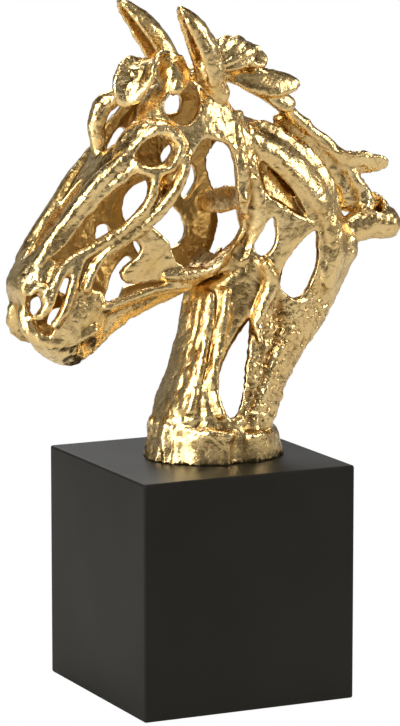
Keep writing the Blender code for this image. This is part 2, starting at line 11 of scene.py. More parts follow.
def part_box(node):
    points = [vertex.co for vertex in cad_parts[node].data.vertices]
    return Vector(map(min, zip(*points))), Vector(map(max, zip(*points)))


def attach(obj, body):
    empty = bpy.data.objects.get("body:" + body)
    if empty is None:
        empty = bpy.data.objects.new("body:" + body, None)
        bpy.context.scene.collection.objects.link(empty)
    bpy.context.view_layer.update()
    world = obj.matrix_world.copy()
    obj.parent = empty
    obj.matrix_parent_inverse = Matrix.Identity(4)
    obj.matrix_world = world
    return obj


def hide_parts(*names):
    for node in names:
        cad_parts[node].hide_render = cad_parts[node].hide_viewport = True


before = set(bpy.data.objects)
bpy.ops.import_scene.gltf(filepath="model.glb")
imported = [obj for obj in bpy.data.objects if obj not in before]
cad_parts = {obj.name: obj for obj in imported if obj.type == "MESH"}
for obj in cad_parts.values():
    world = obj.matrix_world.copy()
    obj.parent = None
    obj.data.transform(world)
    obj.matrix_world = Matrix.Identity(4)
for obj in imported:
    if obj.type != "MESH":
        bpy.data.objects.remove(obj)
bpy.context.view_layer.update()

# Driving dimensions in metres, as in the solid
BLOCK_HEIGHT = 0.152
BUST_HEIGHT = 0.291
WALL = 0.0050
SEAT_GAP = 0.0003

# The figure is drawn in figure units, of which the bust is 291 high: x is 0 over the middle of the
# block, with the nose at -x, y is 0 on the plane between the two sides, and z is 0 on the block's top.
# The horse's left side, which shows in front, has y below 0.
UNIT = BUST_HEIGHT / 291

# How finely each form is drawn: rings and points round a form, and steps between two given points
BODY_RINGS = 44
RING_POINTS = 36
BAR_POINTS = 12
RIDGE_POINTS = 16
EAR_POINTS = 13
LEAF_POINTS = 9
STEPS_BETWEEN = 6
# Rows along an ear or a leaf, less one
BLADE_STEPS = 14
# The melted skin: its grain, rounds of smoothing, and about how many triangles are kept
FINE_VOXEL = 1.0
FINE_SMOOTH_ROUNDS = 12
FINE_TRIANGLES = 190000
# Vertices nearer than this are one
MERGE = 1e-4

# Head sections from the lips to the poll: dorsal point, ventral point, half width, squareness
HEAD = [
    ((-129, 112), (-120, 86), 12, 0.9),
    ((-131, 121), (-106, 71), 20, 0.85),
    ((-126, 131), (-92, 66), 24, 0.8),
    ((-117, 141), (-80, 72), 24, 0.8),
    ((-107, 153), (-66, 83), 22, 0.8),
    ((-95, 167), (-51, 92), 22, 0.8),
    ((-83, 182), (-36, 99), 26, 0.75),
    ((-71, 198), (-18, 107), 31, 0.7),
    ((-59, 214), (1, 118), 35, 0.7),
    ((-47, 230), (19, 137), 37, 0.7),
    ((-35, 243), (27, 160), 36, 0.8),
    ((-22, 250), (28, 186), 31, 0.9),
    ((-6, 252), (24, 208), 22, 1.0),
]
# Neck sections from the poll round to the foot
NECK = [
    ((2, 232), (2, 200), 22, 0.9),
    ((27, 219), (14, 178), 26, 0.9),
    ((56, 203), (20, 155), 29, 0.9),
    ((80, 182), (20, 135), 29, 0.9),
    ((98, 154), (8, 121), 28, 0.9),
    ((111, 131), (-5, 111), 26, 0.9),
    ((104, 114), (-11, 99), 25, 0.9),
    ((87, 85), (-13, 84), 25, 0.9),
    ((72, 67), (-16, 69), 27, 0.9),
    ((60, 50), (-22, 50), 29, 0.9),
    ((52, 33), (-28, 33), 32, 0.9),
    ((48, 18), (-32, 15), 33.5, 0.9),
    ((54, 7), (-34, 6), 35, 0.9),
    ((57, -4), (-36, -4), 36, 0.9),
]

# Openings seen from the side: corners (x, z) that a round outline runs through
LEFT_OPENINGS = {
    "eye": [(-56, 201), (-51, 208), (-42, 211), (-35, 203), (-40, 195), (-51, 193)],
    "face": [(-58, 187), (-79, 167), (-101, 144), (-112, 137), (-104, 135), (-86, 141), (-66, 154),
             (-53, 167), (-51, 182)],
    "cheek": [(-6, 207), (-17, 206), (-24, 194), (-27, 181), (-37, 167), (-48, 157), (-37, 144), (-30, 131),
              (-18, 126), (-4, 128), (12, 138), (19, 152), (12, 165), (10, 186), (5, 202)],
    "jaw": [(-73, 146), (-59, 146), (-53, 139), (-65, 125), (-58, 118), (-40, 119), (-25, 117), (-50, 111),
            (-71, 103), (-78, 113), (-85, 117), (-82, 131)],
    "plate": [(29, 191), (38, 186), (47, 178), (55, 168), (63, 153), (54, 157), (43, 164), (33, 171)],
    "neck_front": [(39, 156), (30, 145), (28, 134), (34, 130), (41, 140)],
    "neck_back": [(70, 145), (58, 138), (45, 120), (46, 109), (56, 101), (65, 106), (72, 122), (72, 134)],
    "legs": [(24, 92), (10, 76), (0, 54), (0, 40), (7, 27), (15, 37), (20, 58), (25, 82)],
    "temple": [(-34, 234), (-17, 243), (-13, 235), (-17, 223), (-27, 217), (-37, 224)],
}
RIGHT_OPENINGS = {
    "eye": [(-11, 186), (-12, 193), (-5, 198), (0, 191), (-4, 183)],
    "face": [(-41, 152), (-38, 167), (-22, 176), (-11, 172), (-14, 158), (-31, 148)],
    "small": [(-64, 139), (-62, 149), (-53, 149), (-52, 137), (-61, 133)],
    "cheek_front": [(-24, 154), (-14, 160), (-3, 157), (3, 144), (-3, 134), (-14, 134)],
    "cheek_slit": [(4, 185), (9, 184), (11, 177), (8, 167), (2, 163)],
    "cheek_back": [(17, 180), (18, 195), (28, 201), (42, 190), (38, 169), (23, 164)],
    "cheek_low": [(27, 153), (20, 143), (24, 128), (40, 131), (48, 148), (38, 155)],
    "jaw": [(-40, 129), (-50, 122), (-58, 110), (-62, 99), (-52, 102), (-45, 110), (-34, 112), (-35, 121)],
    "vent": [(-35, 137), (-28, 138), (-25, 131), (-31, 129)],
    "lip": [(-90, 110), (-88, 119), (-79, 119), (-76, 110), (-83, 107)],
    "nostril": [(-110, 97), (-108, 106), (-99, 106), (-101, 96), (-107, 93)],
    "mouth": [(-99, 88), (-95, 97), (-85, 99), (-84, 91), (-92, 86)],
    "temple": [(-13, 231), (-13, 221), (-8, 217), (-1, 220), (-3, 232)],
    "throat": [(52, 121), (52, 137), (65, 150), (75, 144), (70, 128), (60, 119)],
    "neck_back": [(66, 100), (72, 118), (86, 137), (99, 145), (102, 128), (90, 102), (77, 90)],
    "legs": [(51, 87), (33, 66), (25, 45), (26, 30), (35, 15), (43, 30), (50, 62)],
    "brow": [(-56, 201), (-51, 209), (-41, 211), (-35, 202), (-41, 194), (-52, 193)],
}
# Openings that lean to the nose by LEAN for each unit outward
NOSE_OPENINGS = {
    "nostril": [(-128, 104), (-128, 113), (-122, 115), (-118, 111), (-118, 104), (-122, 99)],
    "mouth": [(-107, 119), (-103, 124), (-97, 124), (-95, 116), (-98, 107), (-105, 96), (-113, 89),
              (-120, 90), (-126, 98), (-120, 100), (-113, 103), (-109, 111)],
}
LEAN = 0.45
# How far out from the middle plane an opening that leans has the place that is drawn
LEAN_FROM = 18
# Openings seen along the face or from below: two tips (x, z) and the half width in y
MIDDLE_OPENINGS = {
    "bridge": ((-121, 134), (-87, 187), 9),
    "forehead": ((-72, 201), (-44, 236), 15),
    "under_jaw": ((-66, 81), (-12, 112), 11),
    "throat": ((22, 118), (28, 206), 20),
}

# Reading how far the side skin stands from the middle plane: the least distance, how many stations are
# compared, how far past the rim a place may lie, as a share, and how far it may lie from its station
LEAST_REACH = 3.0
REACH_STATIONS = 60
PAST_RIM = 1.1
STATION_REACH = 6
# Added to a station's distance from a place past its rim, so that it is chosen last
LAST_CHOICE = 1000
# A raised band: how far it stands over the skin, how far its tips run on and how wide they are, as shares
# of its half width, and the usual share of the way to the rim where it stops bending inward
RIDGE_LIFT = 1.0
TIP_REACH = 0.7
TIP_WIDTH = 0.5
RIDGE_EDGE = 0.97
# A bar's blunt end: how far it reaches past the last ring and how wide it is, as shares of the radius
CAP_REACH = 0.6
CAP_WIDTH = 0.55

# Raised bands that follow the side skin: (x, z, half width) along each, how thick each is, and for
# one that juts past the skin's rim, its own share in place of RIDGE_EDGE
RIDGES = {
    "brow": ([(-66, 194, 3.8), (-61, 204, 5.1), (-55, 211, 5.1), (-47, 216, 5), (-38, 215, 3.8),
              (-31, 206, 2.9)], 8),
    "eye_ring": ([(-61, 198, 2.8), (-56, 191, 3.2), (-47, 189, 3.2), (-37, 192, 2.8), (-31, 203, 2.6)], 7),
    "column_front": ([(-1, 107, 2.6), (-3, 90, 3.2), (-9, 67, 3.2), (-16, 46, 3.2), (-20, 34, 3.2)], 6),
    "column_back": ([(8, 109, 2.6), (6, 90, 3.2), (0, 68, 2.9), (-4, 48, 3.2), (-1, 32, 2.8)], 6),
}
LEFT_RIDGES = {
    "jaw_band": ([(16, 219, 5.8), (18, 200, 6), (21, 180, 7), (25, 163, 7.4), (27, 153, 6.4), (23, 142, 5.8),
                  (16, 129, 5.1), (-2, 122, 4.2), (-21, 121, 4.2), (-37, 122, 3.4)], 6),
    "neck_plate": ([(31, 207, 10.9), (48, 199, 12.2), (62, 186, 13.4), (74, 171, 12.8), (84, 151, 9.6),
                    (86, 131, 8.3), (81, 111, 7)], 7, 0.85),
    "jaw_line": ([(-76, 104, 3.2), (-59, 108, 3.2), (-46, 112, 3.2), (-33, 114, 3.2), (-18, 113, 3.2)], 6),
    "strut_upper": ([(-46, 188, 2.6), (-51, 170, 3.2), (-65, 154, 3.2), (-84, 142, 3.6), (-97, 135, 3.8),
                     (-107, 129, 3.5)], 7),
    "strut_lower": ([(-27, 198, 2.6), (-30, 186, 3.4), (-40, 169, 3.8), (-56, 153, 4.2), (-75, 140, 2.8),
                     (-84, 130, 2.9), (-90, 117, 2.9)], 7),
    "hatch": ([(-63, 189, 3.2), (-82, 172, 3.5), (-100, 151, 3.2), (-112, 139, 2.6)], 5),
    "throat_lobe": ([(32, 126, 3.2), (37, 115, 4.8), (34, 105, 4.8), (29, 95, 4), (27, 86, 3),
                     (28, 76, 1.8)], 11),
    "muzzle": ([(-92, 137, 2.9), (-97, 126, 2.9), (-101, 115, 2.9), (-106, 104, 2.6), (-112, 95, 2.2)], 6),
    "hook": ([(-98, 133, 3.2), (-106, 128, 3.5), (-111, 121, 3.2), (-114, 113, 2.9), (-118, 105, 2.9),
              (-122, 100, 2.2)], 6),
    "nostril_rim": ([(-126, 115, 1.6), (-123, 119, 2), (-118, 118, 2.2), (-117, 110, 2)], 5),
}
RIGHT_RIDGES = {
    "jaw_band": ([(12, 222, 5), (13, 204, 3.2), (14, 186, 2.6), (15, 170, 2.8), (15, 150, 3), (12, 136, 4),
                  (3, 124, 4.4), (-12, 118, 4.4), (-32, 118, 3.8)], 6),
    "neck_plate": ([(30, 212, 6), (50, 203, 8), (66, 189, 9), (82, 168, 8), (96, 150, 5)], 6),
    "strut_face": ([(-62, 178, 3), (-54, 164, 3.4), (-46, 148, 3.6), (-46, 134, 3.4), (-52, 122, 3)], 6),
    "neck_strut": ([(42, 162, 4), (46, 140, 3.6), (54, 110, 4), (62, 90, 3.6)], 5),
    "mouth_corner": ([(-76, 124, 3), (-74, 112, 3.4), (-80, 100, 3.4), (-84, 86, 3)], 6),
}
# Round bars that stand proud of the skin: (x, y, z, radius) along each
BARS = {
    "nasal": [(-60, -24, 199, 4.5), (-72, -20, 189, 5.2), (-83, -17, 178, 5.4), (-96, -14, 162, 4.8),
              (-108, -13, 147, 4.6), (-118, -13, 132, 4.4)],
    "lip": [(-126, -8, 104, 3.5), (-124, -12, 92, 4.5), (-113, -17, 84, 4.5), (-98, -19, 84, 4.5),
            (-84, -20, 90, 4.5)],
    "ear_root": [(2, -25, 234, 7), (-6, -26, 246, 7.5), (-10, -27, 254, 6)],
}
MIDDLE_BARS = {
    "curl": [(-54, -6, 238, 4), (-60, -1, 233, 5.5), (-67, 2, 228, 6), (-71, 3, 217, 5.5), (-70, 3, 207, 5),
             (-70, 3, 196, 4)],
    "crest_band": [(0, 0, 246, 6), (18, -1, 246, 6), (36, -2, 238, 6), (52, -3, 227, 5), (64, -3, 217, 4.5),
                   (76, -3, 207, 4.5), (88, -3, 197, 5), (99, -3, 187, 5), (107, -3, 176, 5),
                   (114, -3, 164, 6), (117, -3, 154, 8)],
    "crest_web": [(56, 3, 215, 4), (66, 3, 208, 7), (79, 3, 197, 8), (90, 3, 186, 8), (100, 3, 172, 8),
                  (107, 3, 158, 8)],
}
# The broken branch at the nape with its open end, outside and inside
STUB = [(104, -4, 140, 9), (116, -5, 144, 10), (126, -5, 145, 11), (133, -5, 142, 10)]
STUB_TUBE = [(116, 4, 140, 9), (119, 0, 149, 11), (121, -5, 157, 11.5)]
STUB_BORE = [(119, 0, 149, 5), (121, -6, 157, 8.6), (121, -18, 172, 12)]
# The foot's faceted collar: middle x, half length, half width, height at the front and at the back
COLLAR = (10, 45.5, 42.5, 25, 15)
COLLAR_SIDES = 13
# How wide its top is as a share of its foot, and where its lower end lies, which is cut off level later
COLLAR_TAPER = 0.93
COLLAR_BOTTOM = -6
# Round grooves cut into the skin, on the left side alone and on both
LEFT_GROOVES = {
    "eye_hollow": [(-40, -34, 184, 2), (-38, -35, 178, 4.5), (-41, -34, 172, 3)],
    "mouth_corner": [(-93, -23, 86, 1.5), (-87, -21, 81, 4), (-80, -14, 76, 2)],
    "trunk_channel": [(44, -27, 100, 2), (47, -28, 88, 4), (40, -27, 70, 4.5), (31, -30, 50, 4),
                      (22, -32, 34, 3)],
}
GROOVES = {
    "front_channel": [(3, -31, 92, 1.5), (0, -34, 68, 4), (-7, -37, 50, 5), (-12, -39, 36, 3.5)],
    "foot_notch": [(8, -46, -6, 9), (9, -44, 10, 9), (12, -39, 22, 7), (16, -32, 34, 3)],
}
# Ears: foot and tip of each
EARS = {
    "ear_left": ((-5, -25, 243), (-30, -32, 290)),
    "ear_right": ((-11, 25, 246), (-43, 31, 291)),
}
EAR_HALF_WIDTH = 12.5
EAR_WALL = 3.0
# Half of the angle that an ear's curved wall spans, how far it bends back, and how deep it is for its width
EAR_WRAP = 118
EAR_BEND = 2.5
EAR_DEPTH = 0.9
EAR_OPENS_TO = Vector((-1, 0, 0.1))
# Locks and webs: root, middle, tip, the way each is wide, width, cup
LEAVES = {
    "forelock_big": ((-30, -8, 256), (-48, -14, 250), (-60, -12, 228), (-0.75, 0.35, -0.3), 27, -0.35),
    "forelock_curled": ((-25, -14, 260), (-29, -21, 250), (-28, -24, 236), (0.9, -0.43, 0.0), 20, -0.7),
    "poll_lock": ((0, -6, 252), (17, -10, 260), (35, -8, 259), (0.2, -0.5, -0.85), 24, 0.3),
    "poll_lobe": ((28, -4, 258), (36, -5, 255), (44, -4, 252), (0.3, 0.5, 0.8), 17, 0.2),
    "poll_lock_right": ((0, 12, 252), (14, 16, 262), (34, 14, 262), (0.2, 0.6, -0.8), 20, -0.4),
    "crest_lock": ((20, -6, 245), (42, -10, 240), (66, -8, 238), (0.1, -0.4, -0.9), 19, 0.3),
    "crest_lobe": ((44, -6, 232), (54, -8, 227), (64, -6, 225), (0.1, -0.3, -0.9), 13, 0.3),
    "crest_lock_right": ((32, 6, 243), (52, 12, 240), (70, 12, 236), (0.1, 0.5, -0.9), 16, -0.3),
    "under_plate": ((24, -24, 188), (45, -21, 171), (66, -24, 148), (-0.6, -0.3, -0.7), 27, 0.1),
    "wing": ((96, -6, 190), (113, -8, 184), (131, -8, 184), (0.1, 0.5, -0.85), 16, 0.3),
    "cheek_web": ((15, -34, 172), (13, -8, 166), (13, 30, 160), (0.1, 0.2, 0.95), 17, 0.2),
}
LEAF_WALL = 3.6
# Neighbouring openings may overlap, so the openings are cut in this many turns
CUT_TURNS = 3

# The crumple of the leaf and the casting, in rows: zone, pattern, stretch, feature size, seed, layers,
# height, and a level that is added
CRUMPLE = [
    ("all", "soft", "even", 26, 1, 3, 0.5, 0.0),
    ("head", "creased", "face", 11, 11, 2, 0.9, -0.36),
    ("head", "creased", "even", 6, 15, 2, 0.55, -0.22),
    ("neck", "creased", "tall", 17, 21, 3, 0.75, -0.3375),
    ("neck", "soft", "even", 4.5, 25, 2, 0.35, 0.0),
    ("bark", "soft", "tall", 8, 31, 3, 1.3, 0.0),
    ("bark", "creased", "even", 4.8, 35, 2, 1.4, -0.56),
    ("back_rim", "soft", "even", 9, 61, 2, 1.6, 0.5),
    ("front", "creased", "upright", 10, 41, 2, 1.5, -0.6),
    ("front", "creased", "tall", 6, 45, 2, 0.8, -0.32),
    ("foot", "soft", "tall", 17, 51, 2, 1.4, 0.0),
    ("foot", "soft", "even", 5, 55, 2, 0.2, 0.0),
    ("ledge", "soft", "even", 12, 81, 2, 2.6, 0.3),
    ("flange", "creased", "upright", 8, 71, 2, 3.4, -0.34),
    ("flange", "soft", "even", 6, 75, 2, 0.8, 0.0),
]
# Where the zones meet, as two heights between which one goes over to the other
TRUNK_TOP = (92, 112)
FOOT_TOP = (21, 27)
# Smaller zones: the stub from this x and z, the ledge on the foot between two heights, and the flange
# under the front columns from this far forward (-x) and below this height
STUB_ZONE = ((94, 104), (118, 126))
LEDGE_ZONE = ((11, 16), (26, 31))
FLANGE_ZONE = ((22, 30), (36, 50))
# Borders that lean in the side view: x at a height, the height, and how x grows with z and with y
TRUNK_BORDER = (29, 50, 0.3, 0.5)
HEAD_BORDER = (18, 180, 0.25, 0)
# What places are multiplied by along x, y and z before a pattern is read, which draws it out
STRETCHES = {"even": (1, 1, 1), "tall": (1, 1, 0.5), "upright": (1, 1, 0.13)}
# The way down the face, and the share of it that is taken off places, which draws a pattern out along it
DOWN_FACE = (-0.62, 0, -0.78)
FACE_STRETCH = 0.72
# Dents: centre, size along x, y and z, depth
DENTS = [
    ((45, -26, 92), (5, 8, 13), 3.0),
    ((20, -34, 36), (5, 8, 12), 2.5),
    ((16, -44, 8), (6, 8, 16), 3.0),
    ((-84, -22, 79), (7, 8, 5), 2.5),
]
# Folds: root (x, z), first and last angle, near and far distance, height, count
FANS = [
    ((-4, 246), -12, 58, 8, 52, 1.5, 5),
    ((14, 246), -26, 6, 16, 58, 1.5, 4),
    ((-27, 262), 196, 262, 8, 44, 0.8, 4),
    ((38, 236), -32, -4, 6, 30, 1.2, 3),
    ((90, 188), -14, 12, 8, 44, 1.1, 3),
]
# Painted shadow down the channel of the back trunk: its places, the size of each dark patch and how dark it
# is
TRUNK_SHADOW_PLACES = [(47, -26, 90), (33, -28, 66), (23, -32, 42), (17, -40, 14)]
TRUNK_SHADOW_SIZE = (5, 9, 12)
TRUNK_SHADOW_SHARE = 0.9
# The skin is levelled in this many rounds to find its hollows, whose painted shade is full dark at this
# depth in metres
LEVEL_ROUNDS = 9
FULL_HOLLOW = 0.0010
# In metres, the inner side, which gets painted shade, counts from this far off the middle plane, and up to
# the ears and locks
INNER_OFF = (0.008, 0.014)
INNER_TOP = (0.385, 0.395)

# Colours of the gold: deep and light leaf, a brown for painted shade in the hollows and creases, and a
# darker one for painted shade on the shell's inner side
GOLD_DEEP = (0.84, 0.575, 0.225, 1)
GOLD_LIGHT = (0.95, 0.735, 0.375, 1)
GOLD_SHADE_BROWN = (0.35, 0.19, 0.055, 1)
GOLD_INSIDE_SHADE = (0.60, 0.38, 0.12, 1)
# Colours of the block, the floor and the dark parts of the room
BLACK_DEEP = (0.0100, 0.0095, 0.0072, 1)
BLACK_LIGHT = (0.0150, 0.0140, 0.0108, 1)
FLOOR_PAPER = (0.75, 0.74, 0.72, 1)
ROOM_DARK = (0.10, 0.06, 0.025, 1)
ROOM_LIGHT = (1, 1, 1, 1)
ROOM_STRENGTH = 0.3
FLOOR_SIZE = 6
# Square lamps: place, side, power, colour. All of them look at one place.
LAMPS = {
    "key": ((-1.5, -0.9, 1.1), 1.0, 24, (1, 0.98, 0.94)),
    "low": ((-1.7, -0.3, 0.2), 0.8, 9, (1, 0.97, 0.92)),
    "side": ((1.5, -0.9, 0.9), 0.7, 11, (1, 0.98, 0.95)),
    "rim": ((0.3, 1.3, 1.3), 0.8, 10, (1, 1, 1)),
    "top": ((0.0, -0.1, 1.9), 0.7, 9, (1, 1, 1)),
}
LAMPS_LOOK_AT = Vector((0, 0, 0.28))
# The camera as fitted to the block's corners: place in metres, turn and rise in degrees, focal length in
# pixels of a photo of this height, and the sensor in millimetres
CAMERA_PLACE = (-1.026, -2.141, 0.611)
CAMERA_TURN = -25.6
CAMERA_RISE = 9.54
FOCAL_PIXELS = 3756
PHOTO_HEIGHT = 726
SENSOR = 36


def spline(values, count):
    """Catmull-Rom through rows of numbers, evaluated at count even steps."""
    values = np.asarray(values, float)
    steps = np.linspace(0, len(values) - 1, count)
    index = np.minimum(steps.astype(int), len(values) - 2)
    t = (steps - index)[:, None]
    padded = np.vstack([2 * values[0] - values[1], values, 2 * values[-1] - values[-2]])
    a, b, c, d = (padded[index + k] for k in range(4))
    return 0.5 * (2 * b + (c - a) * t + (2 * a - 5 * b + 4 * c - d) * t**2 + (3 * b - a - 3 * c + d) * t**3)


def smooth_line(points):
    """A spline through points, with STEPS_BETWEEN steps from each to the next."""
    return spline(points, STEPS_BETWEEN * (len(points) - 1) + 1)


def mesh_object(name, bm):
    """An object in the scene with the mesh that was built, which is used up."""
    mesh = bpy.data.meshes.new(name)
    bm.to_mesh(mesh)
    bm.free()
    made = bpy.data.objects.new(name, mesh)
    bpy.context.scene.collection.objects.link(made)
    return made


def section(row, inset):
    """One closed ring round a body: an oval between its dorsal and ventral points."""
    dorsal, ventral = row[0:2], row[2:4]
    half_width, power = row[4], row[5]
    middle = (dorsal + ventral) / 2
    axis = dorsal - middle
    depth = max(np.linalg.norm(axis) - inset, 0.5)
    axis = axis / np.linalg.norm(axis)
    half_width = max(half_width - inset, 0.5)
    angles = np.linspace(0, 2 * math.pi, RING_POINTS, endpoint=False)
    along = np.sign(np.cos(angles)) * np.abs(np.cos(angles)) ** power
    across = np.sign(np.sin(angles)) * np.abs(np.sin(angles)) ** power
    flat = middle + np.outer(along * depth, axis)
    return np.column_stack([flat[:, 0], across * half_width, flat[:, 1]])


def skin(rings):
    """A closed skin over rings of points, in figure units."""
    bm = bmesh.new()
    loops = [[bm.verts.new(Vector(p)) for p in ring] for ring in rings]
    count = len(loops[0])
    for first, second in zip(loops, loops[1:]):
        for i in range(count):
            j = (i + 1) % count
            bm.faces.new((first[i], first[j], second[j], second[i]))
    bm.faces.new(reversed(loops[0]))
    bm.faces.new(loops[-1])
    bmesh.ops.recalc_face_normals(bm, faces=bm.faces)
    return bm


def body(name, stations, inset=0.0):
    """A closed body through its sections, or a smaller one that lies inside it by the inset."""
    rows = np.array([[*a, *b, w, n] for a, b, w, n in stations], float)
    return mesh_object(name, skin([section(row, inset) for row in spline(rows, BODY_RINGS)]))


def cap(ring, centre, ahead, radius):
    """A smaller ring past the end of a bar, which blunts it."""
    return [centre + ahead * radius * CAP_REACH + (p - centre) * CAP_WIDTH for p in ring]


def bar(name, points):
    """A round bar with a changing radius through (x, y, z, radius) points."""
    rows = smooth_line(points)
    centres, radii = rows[:, :3], rows[:, 3]
    tangents = np.gradient(centres, axis=0)
    tangents /= np.linalg.norm(tangents, axis=1)[:, None]
    angles = np.linspace(0, 2 * math.pi, BAR_POINTS, endpoint=False)
    side = np.cross(tangents[0], (0, 0, 1.0))
    if np.linalg.norm(side) < 0.1:
        side = np.array((0, 1.0, 0))
    rings = []
    for centre, tangent, radius in zip(centres, tangents, radii):
        side = side - tangent * (side @ tangent)
        side /= np.linalg.norm(side)
        up = np.cross(tangent, side)
        rings.append(centre + radius * (np.outer(np.cos(angles), side) + np.outer(np.sin(angles), up)))
    first = cap(rings[0], centres[0], -tangents[0], radii[0])
    last = cap(rings[-1], centres[-1], tangents[-1], radii[-1])
    return mesh_object(name, skin([first, *rings, last]))


def side_reach(places, edge):
    """How far the side skin stands from the middle plane at (x, z) places.

    Past the share edge of the way to the rim of the side view, it falls off no further.
    """
    reach = np.full(len(places), LEAST_REACH)
    for stations in (HEAD, NECK):
        rows = spline([[*a, *b, w, n] for a, b, w, n in stations], REACH_STATIONS)
        middle = (rows[:, 0:2] + rows[:, 2:4]) / 2
        axis = rows[:, 0:2] - middle
        depth = np.linalg.norm(axis, axis=1)
        axis = axis / depth[:, None]
        off = places[:, None] - middle
        along = np.abs(np.sum(off * axis, axis=2)) / depth
        across = np.abs(off[..., 0] * axis[:, 1] - off[..., 1] * axis[:, 0])
        nearest = np.argmin(across + LAST_CHOICE * (along > PAST_RIM), axis=1)
        each = np.arange(len(places))
        toward_rim, power = np.minimum(along[each, nearest], edge), rows[nearest, 5]
        out = rows[nearest, 4] * (1 - toward_rim ** (2 / power)) ** (power / 2)
        reach = np.maximum(reach, np.where(across[each, nearest] < STATION_REACH, out, 0))
    return reach


def ridge(name, side, line, thickness, edge=RIDGE_EDGE):
    """A raised band on one side that follows the skin under it, thin at both ends."""
    rows = smooth_line(line)
    along = np.gradient(rows[:, :2], axis=0)
    along /= np.linalg.norm(along, axis=1)[:, None]
    first, last = rows[0].copy(), rows[-1].copy()
    first[:2] -= along[0] * first[2] * TIP_REACH
    last[:2] += along[-1] * last[2] * TIP_REACH
    first[2] *= TIP_WIDTH
    last[2] *= TIP_WIDTH
    rows = np.vstack([first, rows, last])
    along = np.vstack([along[0], along, along[-1]])
    angles = np.linspace(0, 2 * math.pi, RIDGE_POINTS, endpoint=False)
    rings = []
    for row, ahead in zip(rows, along):
        flat = row[:2] + np.outer(np.cos(angles) * row[2], (-ahead[1], ahead[0]))
        out = side_reach(flat, edge) + RIDGE_LIFT + thickness / 2 * np.sin(angles)
        rings.append(np.column_stack([flat[:, 0], side * out, flat[:, 1]]))
    return mesh_object(name, skin(rings))


def mirrored(points):
    """A bar's points on the other side of the middle plane."""
    return [(x, -y, z, r) for x, y, z, r in points]


def rounded(corners, steps=5):
    """A closed outline that runs smoothly through its corners."""
    looped = [*corners[-2:], *corners, *corners[:3]]
    line = spline(looped, steps * (len(looped) - 1) + 1)
    return [tuple(p) for p in line[2 * steps:(len(corners) + 2) * steps]]


def almond(tip_a, tip_b, left, right, fullness=0.62, steps=9):
    """A closed outline between two tips, with its own bulge on each side."""
    a, b = Vector(tip_a), Vector(tip_b)
    along = b - a
    normal = Vector((-along.y, along.x)).normalized()
    shares = [(1 - math.cos(math.pi * k / steps)) / 2 for k in range(steps + 1)]
    there = [a + along * s + normal * left * math.sin(math.pi * s) ** fullness for s in shares[:-1]]
    back = [b - along * s - normal * right * math.sin(math.pi * s) ** fullness for s in shares[:-1]]
    return there + back


def prism(name, outline, half_depth):
    """A flat outline in its own XY plane, thickened both ways along Z."""
    curve = bpy.data.curves.new(name, "CURVE")
    curve.dimensions = "2D"
    curve.fill_mode = "BOTH"
    curve.extrude = half_depth
    line = curve.splines.new("POLY")
    line.points.add(len(outline) - 1)
    line.use_cyclic_u = True
    for point, place in zip(line.points, outline):
        point.co = (place[0], place[1], 0, 1)
    drawn = bpy.data.objects.new(name, curve)
    bpy.context.scene.collection.objects.link(drawn)
    return as_mesh(drawn)


def as_mesh(drawn):
    """The mesh of an object with its modifiers, in place of the object."""
    graph = bpy.context.evaluated_depsgraph_get()
    mesh = bpy.data.meshes.new_from_object(drawn.evaluated_get(graph))
    bm = bmesh.new()
    bm.from_mesh(mesh)
    bmesh.ops.remove_doubles(bm, verts=bm.verts, dist=MERGE)
    bm.to_mesh(mesh)
    bm.free()
    name = drawn.name
    matrix = drawn.matrix_world.copy()
    bpy.data.objects.remove(drawn)
    made = bpy.data.objects.new(name, mesh)
    made.matrix_world = matrix
    bpy.context.scene.collection.objects.link(made)
    return made


def placed(obj, matrix):
    """The object's mesh moved by a matrix, with its faces looking out."""
    obj.data.transform(matrix)
    bm = bmesh.new()
    bm.from_mesh(obj.data)
    bmesh.ops.recalc_face_normals(bm, faces=bm.faces)
    bm.to_mesh(obj.data)
    bm.free()
    return obj


def side_cutter(name, corners, sign, lean=0.0, inner=5.0, outer=60.0):
    """A prism across one side of the body, leaning to the nose by so much for each unit outward."""
    cutter = prism(name, rounded(corners), (outer - inner) / 2)
    middle = (outer + inner) / 2
    to_side = Matrix(((1, 0, -sign * lean, 0), (0, 0, 1, sign * middle), (0, 1, 0, 0), (0, 0, 0, 1)))
    to_side[0][3] = -lean * (middle - LEAN_FROM)
    return placed(cutter, to_side)


def middle_cutter(name, tip_a, tip_b, half_width, reach=14.0):
    """A prism through the skin on the plane between the two sides."""
    a, b = Vector((tip_a[0], 0, tip_a[1])), Vector((tip_b[0], 0, tip_b[1]))
    along = (b - a).normalized()
    across = Vector((0, 1, 0))
    out = along.cross(across)
    half = (b - a).length / 2
    cutter = prism(name, almond((-half, 0), (half, 0), half_width, half_width), reach)
    turned = Matrix((along, across, out)).transposed().to_4x4()
    turned.translation = (a + b) / 2
    return placed(cutter, turned)


def join(name, objects):
    """One object holding the meshes of several."""
    bm = bmesh.new()
    for obj in objects:
        bm.from_mesh(obj.data)
    for obj in objects:
        bpy.data.objects.remove(obj)
    bmesh.ops.recalc_face_normals(bm, faces=bm.faces)
    return mesh_object(name, bm)


def boolean(obj, tool, operation):
    """One object joined with another or cut by it. Both are used up."""
    modifier = obj.modifiers.new(operation.lower(), "BOOLEAN")
    modifier.operation = operation
    modifier.object = tool
    modifier.use_self = True
    obj = as_mesh(obj)
    bpy.data.objects.remove(tool)
    return obj


def blade(name, bm, rows, wall):
    """A thin curved wall over rows of vertices."""
    for first, second in zip(rows, rows[1:]):
        for i in range(len(first) - 1):
            bm.faces.new((first[i], first[i + 1], second[i + 1], second[i]))
    made = mesh_object(name, bm)
    thick = made.modifiers.new("thickness", "SOLIDIFY")
    thick.thickness = wall
    thick.offset = 0
    return as_mesh(made)


